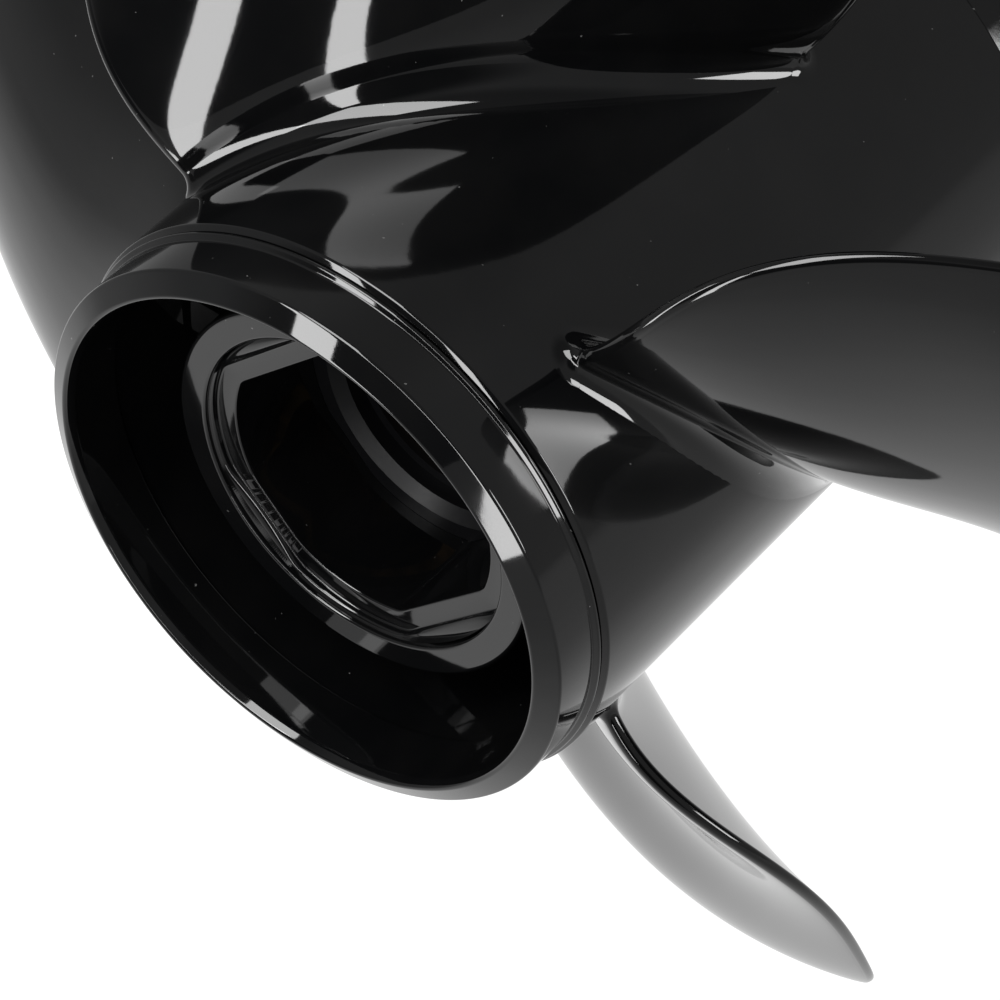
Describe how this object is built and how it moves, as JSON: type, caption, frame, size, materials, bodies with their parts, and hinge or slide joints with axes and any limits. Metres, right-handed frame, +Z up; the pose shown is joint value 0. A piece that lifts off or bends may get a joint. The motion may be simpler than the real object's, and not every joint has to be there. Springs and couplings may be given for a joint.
{
  "type": "boat propeller",
  "caption": "Right-hand through-hub-exhaust boat propeller in gloss black with a square hub socket, cushioned drive sleeve, splined adapter, washers and nut.",
  "frame": {"origin": "middle of the splined adapter's plain pilot bore, on the shaft axis", "axes": "+X along the shaft towards the boat's engine (the propeller's front opening), +Z up"},
  "size_m": [0.1231, 0.2736, 0.2736],
  "materials": {
    "gloss_black_paint": "gloss",
    "sleeve_plastic": "matte",
    "adapter_brass": "satin",
    "stainless": "satin",
    "lock_nylon": "matte"
  },
  "bodies": {
    "hub_kit": {"spline_adapter": "adapter_brass"},
    "casting": {"front_collar": "gloss_black_paint", "outer_barrel": "gloss_black_paint", "rear_flare": "gloss_black_paint", "inner_hub": "gloss_black_paint", "web_1": "gloss_black_paint", "web_2": "gloss_black_paint", "web_3": "gloss_black_paint", "web_4": "gloss_black_paint", "blade_1": "gloss_black_paint", "blade_2": "gloss_black_paint", "blade_3": "gloss_black_paint", "blade_4": "gloss_black_paint"},
    "sleeve": {"drive_sleeve": "sleeve_plastic"},
    "retainers": {"thrust_washer": "stainless", "tab_washer": "stainless", "prop_nut": "stainless", "nut_lock_ring": "lock_nylon"}
  },
  "joints": [
    {"name": "hub_flex", "type": "hinge", "parent": "hub_kit", "child": "casting", "pos_m": [-0.045, 0, 0], "axis": [1, 0, 0], "range_deg": [-6.5, 6.5], "stiffness_Nm_per_rad": 40},
    {"name": "sleeve_out", "type": "slide", "parent": "casting", "child": "sleeve", "axis": [1, 0, 0], "range_m": [0, 0.075]},
    {"name": "retainers_off", "type": "slide", "parent": "hub_kit", "child": "retainers", "axis": [-1, 0, 0], "range_m": [0, 0.045]}
  ]
}
